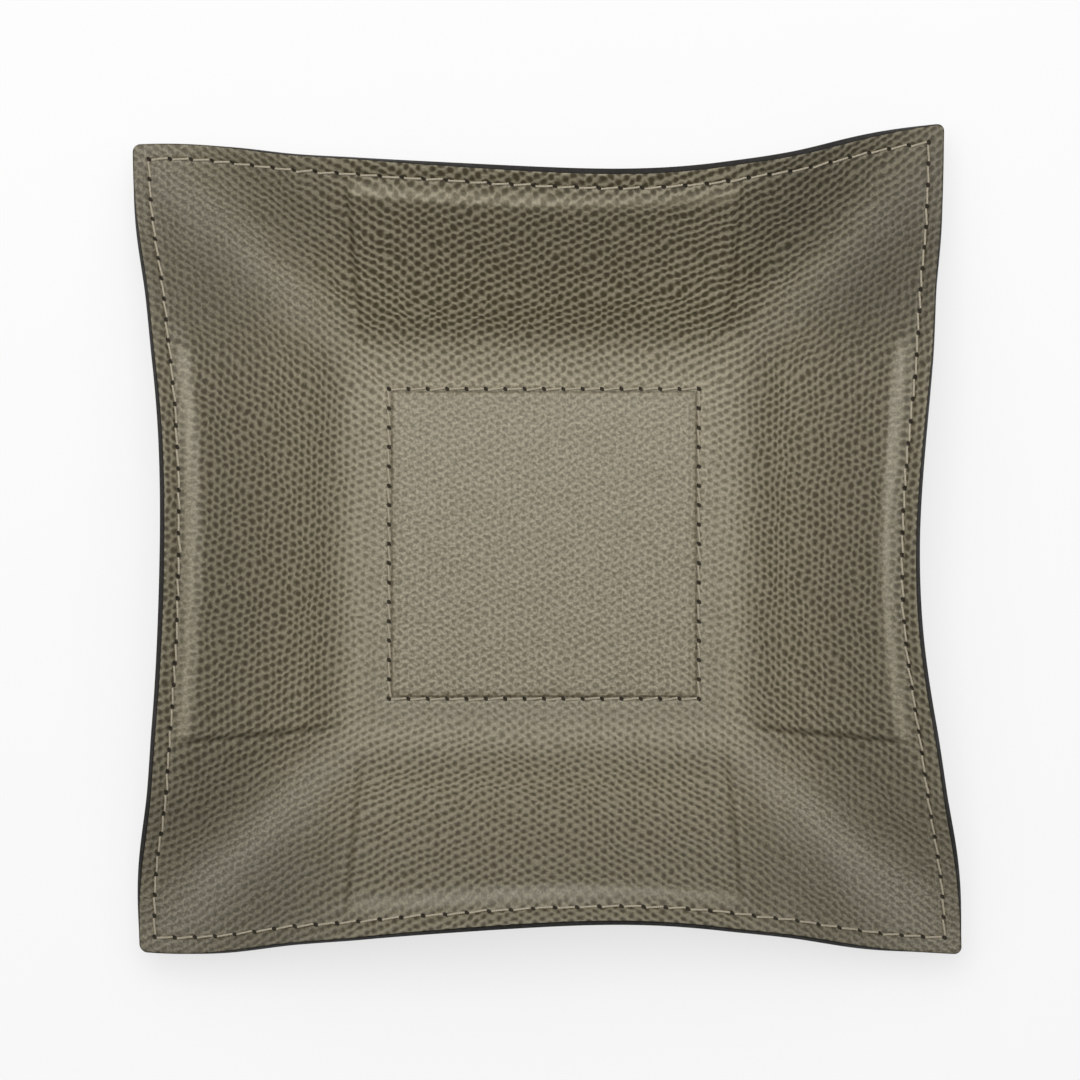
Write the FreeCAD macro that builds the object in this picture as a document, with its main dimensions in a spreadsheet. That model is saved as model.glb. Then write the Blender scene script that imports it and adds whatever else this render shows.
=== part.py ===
"""Square leather valet tray: two leathers glued and sewn together over stiffening boards.

The tray is described by one flat square blank with coordinates u and v from its middle.
A fold formula carries a flat point into space, and every layer lies at its own height above
the glue line of the blank. Origin: middle of the underside, +Z up, the four walls face X and Y.
"""
import FreeCAD, Part
import Sketcher
import functools
import math
import os

from FreeCAD import Placement, Rotation, Vector

SIZES = (
    # The two leathers and their fold. Angles are in degrees.
    ("top_leather_thick", 1.2),
    ("bottom_leather_thick", 1.2),
    ("glue_thick", 0.1),
    ("rim_corner_radius", 1.5),
    ("wall_angle", 37.8),
    ("wall_end_angle", 28.7),
    ("fold_softness", 10.5),
    ("wall_width", 39.5),
    # The stitched square in the floor and the board under it.
    ("base_seam_side", 62.0),
    ("base_seam_land", 0.6),
    ("base_board_setback", 2.0),
    ("base_board_thick", 0.8),
    ("base_board_radius", 1.5),
    ("base_ramp_width", 1.2),
    # The stiffening boards in the walls.
    ("wall_board_thick", 1.5),
    ("wall_board_radius", 1.5),
    ("wall_board_foot_gap", 0.5),
    ("wall_board_rim_margin", 8.7),
    ("wall_board_end_setback", 5.5),
    ("board_edge_clearance", 0.45),
    ("rim_ramp_width", 3.8),
    ("end_ramp_width", 4.0),
    ("foot_ramp_width", 12.0),
    # The seams and the painted edge.
    ("rim_seam_margin", 3.2),
    ("rim_stitch_pitch", 4.2),
    ("base_stitch_pitch", 3.9),
    ("thread_diameter", 0.5),
    ("thread_lay", 0.1),
    ("stitch_gap", 0.8),
    ("groove_clearance", 0.1),
    ("edge_coat_thick", 0.35),
    ("edge_coat_gap", 0.05),
)

# Pole lines of the fold surface and samples of its bends.
LINE_STEP_SHARE = 0.04
CLOSEST_LINE_SHARE = 0.15
RAMP_STEPS = 4
ARC_STEPS = 8
STENCIL_COUNT = 7
CORNER_SOFTNESS_SHARE = 0.6
RAY_STEPS = 240
NORMAL_STEP_SHARE = 0.01
SPLINE_DEGREE = 3
SOLVER_ROUNDS = 60

doc = FreeCAD.newDocument("valet_tray")
sheet = doc.addObject("Spreadsheet::Sheet", "Sizes")
for row, (alias, value) in enumerate(SIZES, start=1):
    sheet.set(f"A{row}", alias)
    sheet.set(f"B{row}", str(value))
    sheet.setAlias(f"B{row}", alias)
doc.recompute()


def size(alias):
    return float(sheet.get(alias))


# Places in the flat blank, from its middle.
BASE_SEAM_HALF = size("base_seam_side") / 2
FLOOR_HALF = BASE_SEAM_HALF + size("base_seam_land")
FOLD_HALF = FLOOR_HALF + size("fold_softness")
BLANK_HALF = FOLD_HALF + size("wall_width")
BASE_BOARD_HALF = BASE_SEAM_HALF - size("base_board_setback")
BOARD_FOOT = FOLD_HALF + size("fold_softness") + size("wall_board_foot_gap")
BOARD_RIM = BLANK_HALF - size("wall_board_rim_margin")
BOARD_END = FOLD_HALF - size("wall_board_end_setback")
RIM_SEAM_HALF = BLANK_HALF - size("rim_seam_margin")

# Heights of the layers above the glue line of the blank.
HALF_GLUE = size("glue_thick") / 2
UNDERSIDE = -HALF_GLUE - size("bottom_leather_thick")
BOARD_RISE = size("wall_board_thick") + size("glue_thick")
BASE_RISE = size("base_board_thick") + size("glue_thick")
TOP_FACE = HALF_GLUE + size("top_leather_thick")

WALL_SLOPE = math.radians(size("wall_angle"))
WALL_END_SLOPE = math.radians(size("wall_end_angle"))
THREAD_RADIUS = size("thread_diameter") / 2


def ray_elevation(angle, corner_slope):
    """Slope of the corner at a flat angle of 0 to 90 degrees about the corner of the folds."""
    swing = (1 + math.cos(4 * angle)) / 2
    return corner_slope + (WALL_END_SLOPE - corner_slope) * swing


def ray_bearings(corner_slope):
    """Bearing of each ray of the corner, so that the leather is bent there and not stretched."""
    step = math.pi / 2 / RAY_STEPS
    bearings = [0.0]
    for index in range(RAY_STEPS):
        before = ray_elevation(index * step, corner_slope)
        after = ray_elevation((index + 1) * step, corner_slope)
        rate = (after - before) / step
        turn = math.sqrt(max(1 - rate * rate, 0)) / math.cos((before + after) / 2)
        bearings.append(bearings[-1] + turn * step)
    return bearings


def solve_corner_slope():
    """The slope of the corner's diagonal at which its rays fill a right angle in plan."""
    low, high = 0.0, WALL_END_SLOPE
    for _ in range(SOLVER_ROUNDS):
        middle = (low + high) / 2
        if ray_bearings(middle)[-1] < math.pi / 2:
            low = middle
        else:
            high = middle
    return (low + high) / 2


CORNER_SLOPE = solve_corner_slope()
BEARINGS = ray_bearings(CORNER_SLOPE)


def ray_bearing(angle):
    place = min(max(angle / (math.pi / 2), 0), 1) * RAY_STEPS
    index = min(int(place), RAY_STEPS - 1)
    return BEARINGS[index] + (place - index) * (BEARINGS[index + 1] - BEARINGS[index])


def sharp_point(u, v):
    """The blank folded with sharp folds, its walls bowed and its corners conical."""
    along, across = abs(u), abs(v)
    past_u, past_v = max(along - FOLD_HALF, 0), max(across - FOLD_HALF, 0)
    run = math.hypot(past_u, past_v)
    angle = math.atan2(past_u, past_v) if run else 0
    slope = ray_elevation(angle, CORNER_SLOPE)
    bow = WALL_SLOPE - WALL_END_SLOPE
    if not past_u:
        slope += bow * (1 - (along / FOLD_HALF) ** 2)
    elif not past_v:
        slope += bow * (1 - (across / FOLD_HALF) ** 2)
    bearing = ray_bearing(angle)
    reach = run * math.cos(slope)
    x = min(along, FOLD_HALF) + reach * math.sin(bearing)
    y = min(across, FOLD_HALF) + reach * math.cos(bearing)
    return Vector(math.copysign(x, u), math.copysign(y, v), run * math.sin(slope))


@functools.lru_cache(maxsize=None)
def softness(place):
    """Half width of a bend, less along the part of it that is far up the other wall."""
    climb = (abs(place) - FOLD_HALF) / (BLANK_HALF - FOLD_HALF)
    share = 1 - (1 - CORNER_SOFTNESS_SHARE) * min(max(climb, 0), 1)
    return size("fold_softness") * share


STENCIL_SHARES = tuple((2 * k + 1) / STENCIL_COUNT - 1 for k in range(STENCIL_COUNT))


@functools.lru_cache(maxsize=None)
def soft_point(u, v):
    """The folded blank with each fold spread over a soft bend."""
    total = Vector()
    reach_u, reach_v = softness(v), softness(u)
    for share_u in STENCIL_SHARES:
        for share_v in STENCIL_SHARES:
            total += sharp_point(u + share_u * reach_u, v + share_v * reach_v)
    return total / STENCIL_COUNT ** 2


@functools.lru_cache(maxsize=None)
def soft_normal(u, v):
    step = size("fold_softness") * NORMAL_STEP_SHARE
    along = soft_point(u + step, v) - soft_point(u - step, v)
    across = soft_point(u, v + step) - soft_point(u, v - step)
    return along.cross(across).normalize()


def layer_point(u, v, height):
    """A point of the layer at a height above the glue line, with the underside at z = 0."""
    a, b = abs(u), abs(v)
    point = soft_point(a, b) + soft_normal(a, b) * height
    return Vector(math.copysign(point.x, u), math.copysign(point.y, v), point.z - UNDERSIDE)


def ramp_down(distance, width):
    """1 before an edge and 0 beyond its ramp, with a smooth run between."""
    share = min(max(distance / width, 0), 1)
    return 1 - share * share * (3 - 2 * share)


def wall_rise(along, across):
    clearance = size("board_edge_clearance")
    end = ramp_down(along - BOARD_END - clearance, size("end_ramp_width"))
    rim = ramp_down(across - BOARD_RIM - clearance, size("rim_ramp_width"))
    foot = ramp_down(BOARD_FOOT - clearance - across, size("foot_ramp_width"))
    return BOARD_RISE * end * rim * foot


def base_rise(u, v):
    edge = BASE_BOARD_HALF + size("board_edge_clearance")
    width = size("base_ramp_width")
    return BASE_RISE * ramp_down(abs(u) - edge, width) * ramp_down(abs(v) - edge, width)


def top_rise(u, v):
    """How far the boards lift the upper leather off the glue line."""
    a, b = abs(u), abs(v)
    return base_rise(a, b) + wall_rise(a, b) + wall_rise(b, a)


def underside_height(u, v):
    return UNDERSIDE


def bottom_face_height(u, v):
    return -HALF_GLUE


def top_back_height(u, v):
    return HALF_GLUE + top_rise(u, v)


def top_face_height(u, v):
    return TOP_FACE + top_rise(u, v)


def board_back_height(u, v):
    return HALF_GLUE


def board_face_height(u, v):
    return HALF_GLUE + size("wall_board_thick")


def ramp_lines(start, width):
    return [start + width * k / RAMP_STEPS for k in range(RAMP_STEPS + 1)]


def filled_lines(first, last, keys):
    """Pole lines from first to last through the keys between them, none too far apart."""
    widest = BLANK_HALF * LINE_STEP_SHARE
    closest = widest * CLOSEST_LINE_SHARE
    stops = [first]
    for key in sorted(keys):
        if stops[-1] + closest < key < last - closest:
            stops.append(key)
    stops.append(last)
    lines = [first]
    for start, end in zip(stops, stops[1:]):
        count = math.ceil((end - start) / widest)
        lines += [start + (end - start) * k / count for k in range(1, count)]
        lines.append(end)
    return lines


def floor_lines():
    edge = BASE_BOARD_HALF + size("board_edge_clearance")
    ramp = ramp_lines(edge, size("base_ramp_width"))
    return filled_lines(-FLOOR_HALF, FLOOR_HALF, ramp + [-line for line in ramp])


def wall_lines(outer):
    clearance = size("board_edge_clearance")
    foot_start = BOARD_FOOT - clearance - size("foot_ramp_width")
    keys = ramp_lines(BOARD_END + clearance, size("end_ramp_width"))
    keys += ramp_lines(foot_start, size("foot_ramp_width"))
    keys += ramp_lines(BOARD_RIM + clearance, size("rim_ramp_width"))
    return filled_lines(FLOOR_HALF, outer, keys)


def blank_spans(outer):
    """The pole lines across the blank in three spans: wall, floor, wall."""
    wall = wall_lines(outer)
    return [-line for line in reversed(wall)], floor_lines(), wall


def clamped(count):
    """Degree, knots and multiplicities of an even spline with this many poles."""
    degree = min(SPLINE_DEGREE, count - 1)
    knots = [float(k) for k in range(count - degree + 1)]
    mults = [degree + 1] + [1] * (len(knots) - 2) + [degree + 1]
    return degree, knots, mults


def spline_edge(points):
    degree, knots, mults = clamped(len(points))
    curve = Part.BSplineCurve()
    curve.buildFromPolesMultsKnots(points, mults, knots, False, degree)
    return curve.toShape()


def spline_face(rows):
    u_degree, u_knots, u_mults = clamped(len(rows))
    v_degree, v_knots, v_mults = clamped(len(rows[0]))
    surface = Part.BSplineSurface()
    surface.buildFromPolesMultsKnots(
        rows, u_mults, v_mults, u_knots, v_knots, False, False, u_degree, v_degree
    )
    return surface.toShape()


def layer_face(u_lines, v_lines, height):
    return spline_face([[layer_point(u, v, height(u, v)) for v in v_lines] for u in u_lines])


def layer_edge(places, height):
    return spline_edge([layer_point(u, v, height(u, v)) for u, v in places])


def floor_face(height):
    corners = [(-FLOOR_HALF, -FLOOR_HALF), (FLOOR_HALF, -FLOOR_HALF)]
    corners += [(FLOOR_HALF, FLOOR_HALF), (-FLOOR_HALF, FLOOR_HALF)]
    points = [layer_point(u, v, height(u, v)) for u, v in corners]
    return Part.Face(Part.makePolygon(points + points[:1]))


def side_runs(spans, half):
    """Straight runs of flat places along the four sides of a square."""
    runs = []
    for span in spans:
        for side in (-half, half):
            runs.append([(u, side) for u in span])
            runs.append([(side, v) for v in span])
    return runs


def sharp_border(half):
    return side_runs(blank_spans(half), half)


def rounded_border(reach):
    """The border of the blank with round corners, at a reach from their centres."""
    centre = BLANK_HALF - size("rim_corner_radius")
    runs = side_runs(blank_spans(centre), centre + reach)
    for side_u, side_v in square_corners(1):
        arc = []
        for step in range(ARC_STEPS + 1):
            angle = math.pi / 2 * step / ARC_STEPS
            along, across = centre + reach * math.sin(angle), centre + reach * math.cos(angle)
            arc.append((side_u * along, side_v * across))
        runs.append(arc)
    return runs


def border_faces(border, low, high):
    """The cut edge of a layer between two heights."""
    faces = []
    for places in border:
        faces.append(Part.makeRuledSurface(layer_edge(places, low), layer_edge(places, high)))
    return faces


def sewn_solid(faces):
    joined = Part.makeCompound(faces)
    joined.sewShape()
    solid = Part.Solid(joined.Shells[0])
    if solid.Volume < 0:
        solid.reverse()
    return solid


def square_corners(half):
    return [(-half, -half), (half, -half), (half, half), (-half, half)]


def corner_waste(corner, outward, radius):
    """The waste outside a rounded corner of a layer. Outward holds the signs of its two outer sides."""
    inner = [place - sign * radius for place, sign in zip(corner, outward)]
    centre, tip = layer_point(*inner, 0), layer_point(*corner, 0)
    up = layer_point(*inner, TOP_FACE + BOARD_RISE) - layer_point(*inner, UNDERSIDE)
    depth = 4 * up.Length
    block = Part.makeBox(2 * radius, 2 * radius, depth, Vector(0, 0, -depth / 2))
    waste = block.cut(Part.makeCylinder(radius, depth, Vector(0, 0, -depth / 2)))
    turn = Rotation(tip - centre, Vector(), up, "ZXY").multiply(Rotation(Vector(0, 0, 1), -45))
    waste.Placement = Placement(centre, turn)
    return waste


def leather(low, high, flat_floor):
    """One leather of the blank, from its lower to its upper height, with rounded corners."""
    faces = border_faces(sharp_border(BLANK_HALF), low, high)
    for height in (low, high):
        for u_index, u_span in enumerate(blank_spans(BLANK_HALF)):
            for v_index, v_span in enumerate(blank_spans(BLANK_HALF)):
                if flat_floor and u_index == 1 and v_index == 1:
                    faces.append(floor_face(height))
                else:
                    faces.append(layer_face(u_span, v_span, height))
    solid = sewn_solid(faces)
    for corner in square_corners(BLANK_HALF):
        outward = [math.copysign(1, place) for place in corner]
        solid = solid.cut(corner_waste(corner, outward, size("rim_corner_radius")))
    return solid.Solids[0]


def wall_board():
    """The stiffening board of the north wall, bent with the wall."""
    u_lines = filled_lines(-BOARD_END, BOARD_END, [])
    v_lines = filled_lines(BOARD_FOOT, BOARD_RIM, [])
    low, high = board_back_height, board_face_height
    border = [[(u, v) for u in u_lines] for v in (BOARD_FOOT, BOARD_RIM)]
    border += [[(u, v) for v in v_lines] for u in (-BOARD_END, BOARD_END)]
    faces = [layer_face(u_lines, v_lines, height) for height in (low, high)]
    solid = sewn_solid(faces + border_faces(border, low, high))
    for u, side in ((-BOARD_END, -1), (BOARD_END, 1)):
        for v, end in ((BOARD_FOOT, -1), (BOARD_RIM, 1)):
            solid = solid.cut(corner_waste((u, v), (side, end), size("wall_board_radius")))
    return solid.Solids[0]


def edge_coat():
    """The bead of edge paint round the cut edge of both leathers."""
    reach = size("rim_corner_radius") + size("edge_coat_gap")
    inner, outer = rounded_border(reach), rounded_border(reach + size("edge_coat_thick"))
    low, high = underside_height, top_face_height
    faces = border_faces(inner, low, high) + border_faces(outer, low, high)
    for height in (low, high):
        for inner_run, outer_run in zip(inner, outer):
            edges = layer_edge(inner_run, height), layer_edge(outer_run, height)
            faces.append(Part.makeRuledSurface(*edges))
    return sewn_solid(faces)


def stitch(start, end):
    """One stitch: a rod with round ends that lies between two needle holes."""
    radius = THREAD_RADIUS
    path = end - start
    inset = path.normalize() * size("stitch_gap") / 2
    length = (end - start).Length - size("stitch_gap")
    dome = radius * math.sin(math.pi / 4)
    foot, head = Vector(radius, 0, radius), Vector(radius, 0, length - radius)
    outline = [
        Part.Arc(Vector(), Vector(dome, 0, radius - dome), foot),
        Part.LineSegment(foot, head),
        Part.Arc(head, Vector(dome, 0, length - radius + dome), Vector(0, 0, length)),
        Part.LineSegment(Vector(0, 0, length), Vector()),
    ]
    profile = Part.Face(Part.Wire([piece.toShape() for piece in outline]))
    rod = profile.revolve(Vector(), Vector(0, 0, 1), 360)
    rod.Placement = Placement(start + inset, Rotation(Vector(0, 0, 1), path))
    return rod


def seam_places(half, pitch):
    """The needle holes round a square seam, evenly spaced, each corner with a hole."""
    count = round(2 * half / pitch)
    line = [-half + 2 * half * k / count for k in range(count)]
    places = [(u, -half) for u in line]
    places += [(half, v) for v in line]
    places += [(-u, half) for u in line]
    places += [(-half, -v) for v in line]
    return places


def seam(half, pitch, height):
    holes = [layer_point(u, v, height) for u, v in seam_places(half, pitch)]
    return Part.makeCompound([stitch(start, end) for start, end in zip(holes, holes[1:] + holes[:1])])


def add_feature(label, shape, turn=0):
    """A piece whose shape comes from the fold formula, turned about the middle of the tray."""
    feature = doc.addObject("Part::Feature", label)
    feature.Label = label
    feature.Shape = shape
    feature.Placement = Placement(Vector(), Rotation(Vector(0, 0, 1), turn))
    return feature


def add_block(name, side, reach):
    """A square block about the Z axis that reaches as far below z = 0 as above it."""
    block = doc.addObject("Part::Box", name)
    block.setExpression("Length", side)
    block.setExpression("Width", side)
    block.setExpression("Height", f"2 * {reach}")
    block.setExpression("Placement.Base.x", f"-({side}) / 2")
    block.setExpression("Placement.Base.y", f"-({side}) / 2")
    block.setExpression("Placement.Base.z", f"-{reach}")
    return block


def add_cut(name, base, tool):
    cut = doc.addObject("Part::Cut", name)
    cut.Base = base
    cut.Tool = tool
    return cut


def add_bottom_leather():
    """The lower leather with the shallow groove that lets its base seam lie flush."""
    blank = add_feature("bottom_leather_blank", leather(underside_height, bottom_face_height, True))
    width = "(Sizes.thread_diameter + 2 * Sizes.groove_clearance)"
    outer = add_block("groove_outer", f"Sizes.base_seam_side + {width}", width)
    inner = add_block("groove_inner", f"Sizes.base_seam_side - {width}", width)
    groove = add_cut("groove", outer, inner)
    piece = add_cut("bottom_leather", blank, groove)
    piece.Label = "bottom_leather"
    return piece


def add_base_board():
    """The square board under the stitched floor, with rounded corners."""
    body = doc.addObject("PartDesign::Body", "base_board")
    body.Label = "base_board"
    sketch = body.newObject("Sketcher::SketchObject", "base_board_outline")
    plane = next(item for item in body.Origin.OriginFeatures if item.Role == "XY_Plane")
    sketch.AttachmentSupport = [(plane, "")]
    sketch.MapMode = "FlatFace"
    half = BASE_BOARD_HALF
    corners = [Vector(x, y, 0) for x, y in square_corners(half)]
    for start, end in zip(corners, corners[1:] + corners[:1]):
        sketch.addGeometry(Part.LineSegment(start, end), False)
    for side, following in ((0, 1), (1, 2), (2, 3), (3, 0)):
        sketch.addConstraint(Sketcher.Constraint("Coincident", side, 2, following, 1))
    for side, kind in enumerate(("Horizontal", "Vertical", "Horizontal", "Vertical")):
        sketch.addConstraint(Sketcher.Constraint(kind, side))
    sketch.addConstraint(Sketcher.Constraint("Symmetric", 0, 1, 1, 2, -1, 1))
    for side, kind in ((0, "DistanceX"), (1, "DistanceY")):
        index = sketch.addConstraint(Sketcher.Constraint(kind, side, 1, side, 2, 2 * half))
        sketch.setExpression(
            f"Constraints[{index}]", "Sizes.base_seam_side - 2 * Sizes.base_board_setback"
        )
    pad = body.newObject("PartDesign::Pad", "base_board_pad")
    pad.Profile = sketch
    pad.setExpression("Length", "Sizes.base_board_thick")
    doc.recompute()
    upright = [
        f"Edge{number}"
        for number, edge in enumerate(pad.Shape.Edges, start=1)
        if abs(edge.tangentAt(edge.FirstParameter).z) > math.cos(math.pi / 4)
    ]
    fillet = body.newObject("PartDesign::Fillet", "base_board_corners")
    fillet.Base = (pad, upright)
    fillet.setExpression("Radius", "Sizes.base_board_radius")
    body.setExpression("Placement.Base.z", "Sizes.bottom_leather_thick + Sizes.glue_thick")
    return body


needle_height = TOP_FACE + size("thread_lay") + THREAD_RADIUS
bobbin_height = UNDERSIDE - size("thread_lay") - THREAD_RADIUS
groove_height = UNDERSIDE + size("groove_clearance") / 2 + THREAD_RADIUS
rim_pitch, base_pitch = size("rim_stitch_pitch"), size("base_stitch_pitch")
wall_board_shape = wall_board()

pieces = [
    add_feature("top_leather", leather(top_back_height, top_face_height, False)),
    add_bottom_leather(),
    add_base_board(),
    add_feature("wall_board_north", wall_board_shape),
    add_feature("wall_board_west", wall_board_shape, 90),
    add_feature("wall_board_south", wall_board_shape, 180),
    add_feature("wall_board_east", wall_board_shape, 270),
    add_feature("edge_coat", edge_coat()),
    add_feature("rim_needle_thread", seam(RIM_SEAM_HALF, rim_pitch, needle_height)),
    add_feature("rim_bobbin_thread", seam(RIM_SEAM_HALF, rim_pitch, bobbin_height)),
    add_feature("base_needle_thread", seam(BASE_SEAM_HALF, base_pitch, needle_height)),
    add_feature("base_bobbin_thread", seam(BASE_SEAM_HALF, base_pitch, groove_height)),
]
doc.recompute()

for item in doc.Objects:
    if "Invalid" in item.State or "Error" in item.State:
        raise RuntimeError(f"{item.Label} did not build: {item.State}")
for piece in pieces:
    if piece.Shape.isNull() or not piece.Shape.isValid():
        raise RuntimeError(f"{piece.Label} has no valid shape")

os.makedirs("parts", exist_ok=True)
for piece in pieces:
    piece.Shape.exportStep(os.path.join("parts", f"{piece.Label}.step"))
    box = piece.Shape.BoundBox
    print(f"{piece.Label}: {len(piece.Shape.Solids)} solids, {piece.Shape.Volume:.1f} mm3,",
          f"z {box.ZMin:.2f} to {box.ZMax:.2f}, x {box.XMin:.2f} to {box.XMax:.2f}")
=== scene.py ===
import math
from functools import partialmethod

import bpy
import numpy as np
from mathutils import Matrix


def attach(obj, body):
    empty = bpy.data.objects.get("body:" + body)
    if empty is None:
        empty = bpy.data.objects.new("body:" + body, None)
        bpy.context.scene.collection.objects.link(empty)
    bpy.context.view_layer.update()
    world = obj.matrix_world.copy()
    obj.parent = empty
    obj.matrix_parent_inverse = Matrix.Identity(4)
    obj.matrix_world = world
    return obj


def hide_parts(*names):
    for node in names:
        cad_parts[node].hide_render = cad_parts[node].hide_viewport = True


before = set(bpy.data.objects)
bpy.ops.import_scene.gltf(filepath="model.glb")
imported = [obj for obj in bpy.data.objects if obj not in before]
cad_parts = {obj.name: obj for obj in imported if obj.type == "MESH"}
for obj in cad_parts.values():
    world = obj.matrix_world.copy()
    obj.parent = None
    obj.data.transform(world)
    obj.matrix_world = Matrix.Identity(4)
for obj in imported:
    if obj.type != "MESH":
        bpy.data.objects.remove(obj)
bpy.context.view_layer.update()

MM = 0.001

# Sizes of the flat blank, its layers and its fold, in mm and degrees. They are the part's own, apart from
# the ramps, the step of the floor, the thread and the paint, which are fitted to the photo.
LEATHER_THICK = 1.2
GLUE_THICK = 0.1
CORNER_RADIUS = 1.5
WALL_ANGLE = 37.8
WALL_END_ANGLE = 28.7
FOLD_SOFTNESS = 10.5
WALL_WIDTH = 39.5
BASE_SEAM_SIDE = 62.0
SEAM_LAND = 0.6
BASE_BOARD_SETBACK = 2.0
BASE_BOARD_THICK = 0.8
BASE_RAMP = 1.3
BASE_STEP = 0.35
WALL_BOARD_THICK = 1.5
BOARD_FOOT_GAP = 0.5
BOARD_RIM_MARGIN = 8.7
BOARD_END_SETBACK = 5.5
BOARD_CLEARANCE = 0.45
RIM_RAMP = 4.4
CRISP_END_RAMP = 1.8
SOFT_END_RAMP = 9.0
FOOT_RAMP = 14.0
RIM_SEAM_MARGIN = 3.2
RIM_STITCHES = 37
BASE_STITCHES = 16
THREAD_RADIUS = 0.22
EDGE_COAT = 0.1

# Places in the flat blank, from its middle.
BASE_SEAM_HALF = BASE_SEAM_SIDE / 2
FLOOR_HALF = BASE_SEAM_HALF + SEAM_LAND
FOLD_HALF = FLOOR_HALF + FOLD_SOFTNESS
BLANK_HALF = FOLD_HALF + WALL_WIDTH
BASE_BOARD_HALF = BASE_SEAM_HALF - BASE_BOARD_SETBACK
BOARD_FOOT = FOLD_HALF + FOLD_SOFTNESS + BOARD_FOOT_GAP
BOARD_RIM = BLANK_HALF - BOARD_RIM_MARGIN
BOARD_END = FOLD_HALF - BOARD_END_SETBACK
RIM_SEAM_HALF = BLANK_HALF - RIM_SEAM_MARGIN
RIM_PITCH = 2 * RIM_SEAM_HALF / RIM_STITCHES
BASE_PITCH = 2 * BASE_SEAM_HALF / BASE_STITCHES

# Heights of the layers above the glue line of the blank.
HALF_GLUE = GLUE_THICK / 2
UNDERSIDE = -HALF_GLUE - LEATHER_THICK
TOP_FACE = HALF_GLUE + LEATHER_THICK
BOARD_RISE = WALL_BOARD_THICK + GLUE_THICK
BASE_RISE = BASE_BOARD_THICK + GLUE_THICK

WALL_SLOPE = math.radians(WALL_ANGLE)
WALL_END_SLOPE = math.radians(WALL_END_ANGLE)
CORNER_SOFTNESS_SHARE = 0.6
STENCIL_COUNT = 11
RAY_STEPS = 240
SOLVER_ROUNDS = 60
NORMAL_STEP = 0.07

# The corner tips lie flatter: from where on, and by how much at the very tip.
TIP_START = 48.0
TIP_DROOP = 3.2

# How far the hand-cut rim strays from a square, in mm along the leather: (u side, v side) to (du, dv).
RIM_STRAY = {
    (-1, 1): (-0.9, -1.9),
    (1, 1): (-0.8, 2.5),
    (1, -1): (2.5, -0.9),
    (-1, -1): (0.8, 0.1),
    (0, 1): (0.0, -0.55),
    (0, -1): (0.0, -1.15),
    (-1, 0): (-1.4, 0.0),
    (1, 0): (0.3, 0.0),
}
STRAY_START = 45.0

# The S-shaped sway of each side of the rim, in mm. The scale brings the crest of the S to about 1.
RIM_SWAY = {"north": -1.65, "south": 1.35, "west": 0.34, "east": 0.28}
SWAY_SCALE = 2.6

# Shorter waves of the rim: (height outwards in mm, length and crest as shares of half a side).
RIM_RIPPLE = {
    "north": (0.62, 1.0, -0.13),
    "south": (0.37, 0.85, -0.12),
    "west": (0.31, 0.9, -0.07),
    "east": (0.66, 1.05, 0.38),
}

# How far the cut edge slopes in towards the underside, in mm at the negative end, the middle and the
# positive end of each side, and how far in that reaches.
EDGE_SLOPE = {
    "north": (1.4, 0.25, 0.0),
    "south": (0.55, 0.45, 0.3),
    "west": (0.0, 0.4, 0.5),
    "east": (0.0, 0.6, 1.1),
}
EDGE_SLOPE_WIDTH = 2.4

# The rolled edge of both leathers, and the dent along the seams.
EDGE_ROLL = 0.2
EDGE_ROLL_WIDTH = 0.7
SEAM_DENT = 0.24
SEAM_DENT_WIDTH = 0.8

# How sharply the leather creases at the two ends of each wall board, from 0, soft, to 1, crisp.
CREASES = {
    "north": (0.75, 0.3),
    "south": (0.5, 0.42),
    "west": (0.6, 0.1),
    "east": (0.65, 0.1),
}
CREASE_DENT = 0.35
CREASE_DENT_WIDTH = 0.8
CREASE_FOOT = 38.0
CREASE_RUN_IN = 8.0
CREASE_SLANT = 0.05

# How crisply each wall board's upper edge shows through: lower is crisper.
EDGE_CRISPNESS = {"north": 0.6, "south": 0.85, "west": 0.62, "east": 0.75}

# How far past each wall board's upper edge the leather starts to bend down, in mm.
EDGE_SHIFT = {"north": 1.7, "south": 2.0, "west": 2.5, "east": 1.8}

# Power of the rounded square round which the floor is padded.
ROUND_SQUARE = 6

# Slow unevenness of the leather, as (waves per mm along u, along v, start) of each swell.
UNEVEN_SWELLS = (
    (0.045, 0.071, 0.4),
    (-0.083, 0.038, 1.9),
    (0.019, -0.102, 3.1),
    (0.118, 0.057, 4.4),
    (-0.064, -0.131, 5.2),
)
UNEVEN_HEIGHT = 0.03


def clamp01(value):
    return np.clip(value, 0.0, 1.0)


def smooth(value):
    """Smooth step from 0 to 1 as the value goes from 0 to 1."""
    value = clamp01(value)
    return value * value * (3 - 2 * value)


def rise(value, start, width):
    """Smooth step from 0 at the start to 1 a width further on."""
    return smooth((value - start) / width)


def bell(distance, width):
    """1 at no distance, and fading out within about two widths to each side."""
    return np.exp(-((distance / width) ** 2))


def ramp_down(distance, width, crispness=1.0):
    """1 before the ramp, 0 after its width. A crispness under 1 drops early and runs out slowly."""
    return 1 - smooth(clamp01(distance / width) ** crispness)


def dent(distance, width):
    """A rounded dent of depth 1 that reaches width to each side."""
    return 1 - smooth(distance / width)


def four_sides(u, v):
    """Each side's coordinate along it, coordinate out towards it, and name."""
    return (u, v, "north"), (u, -v, "south"), (v, u, "east"), (v, -u, "west")


def square_distance(u, v, half):
    """Distance from the lines of a square seam."""
    return np.abs(np.maximum(np.abs(u), np.abs(v)) - half)


# The fold, by the same formula as in the part's source.


def ray_elevation(angle, corner_slope):
    """Slope of the corner at a flat angle of 0 to 90 degrees about the corner of the folds."""
    return corner_slope + (WALL_END_SLOPE - corner_slope) * (1 + np.cos(4 * angle)) / 2


RAY_ANGLES = np.linspace(0, math.pi / 2, RAY_STEPS + 1)


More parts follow.
